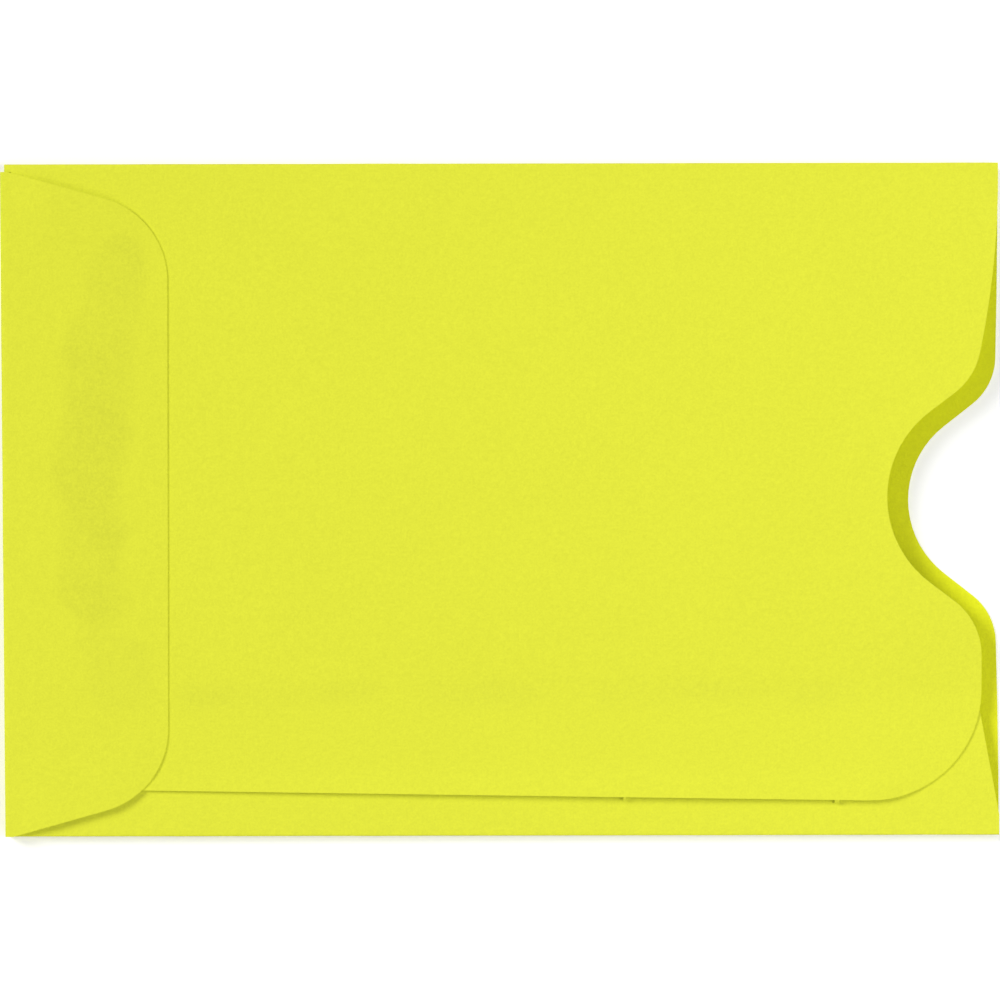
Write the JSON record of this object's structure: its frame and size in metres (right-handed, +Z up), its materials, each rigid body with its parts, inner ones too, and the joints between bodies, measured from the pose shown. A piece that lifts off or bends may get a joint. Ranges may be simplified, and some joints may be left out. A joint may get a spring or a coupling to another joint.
{
  "type": "gift card holder",
  "caption": "Flat folded paper sleeve for a gift card, with a thumb notch at its open end, a gummed side seam and a tapered flap folded over its closed end.",
  "frame": {"origin": "under the middle of the sleeve, on the surface that its front panel lies on", "axes": "+X from the closed end to the mouth, +Y from the seam fold to the back fold, +Z up through the layers of paper"},
  "size_m": [0.0888, 0.0599, 0.0031],
  "materials": {
    "paper": "matt uncoated yellow-green text paper",
    "gum": "thin dried gum with a dull sheen"
  },
  "bodies": {
    "pocket": {"front_panel": "paper", "back_panel": "paper", "seam_flap": "paper", "back_fold": "paper", "seam_fold": "paper", "end_fold": "paper", "seam_gum": "gum"},
    "flap": {"end_flap": "paper", "end_gum": "gum"}
  },
  "joints": [
    {"name": "end_flap_crease", "type": "hinge", "parent": "pocket", "child": "flap", "pos_m": [-0.04366, 0, 0.00079], "axis": [0, -1, 0], "range_deg": [0, 175], "deforming": ["end_fold"]}
  ]
}
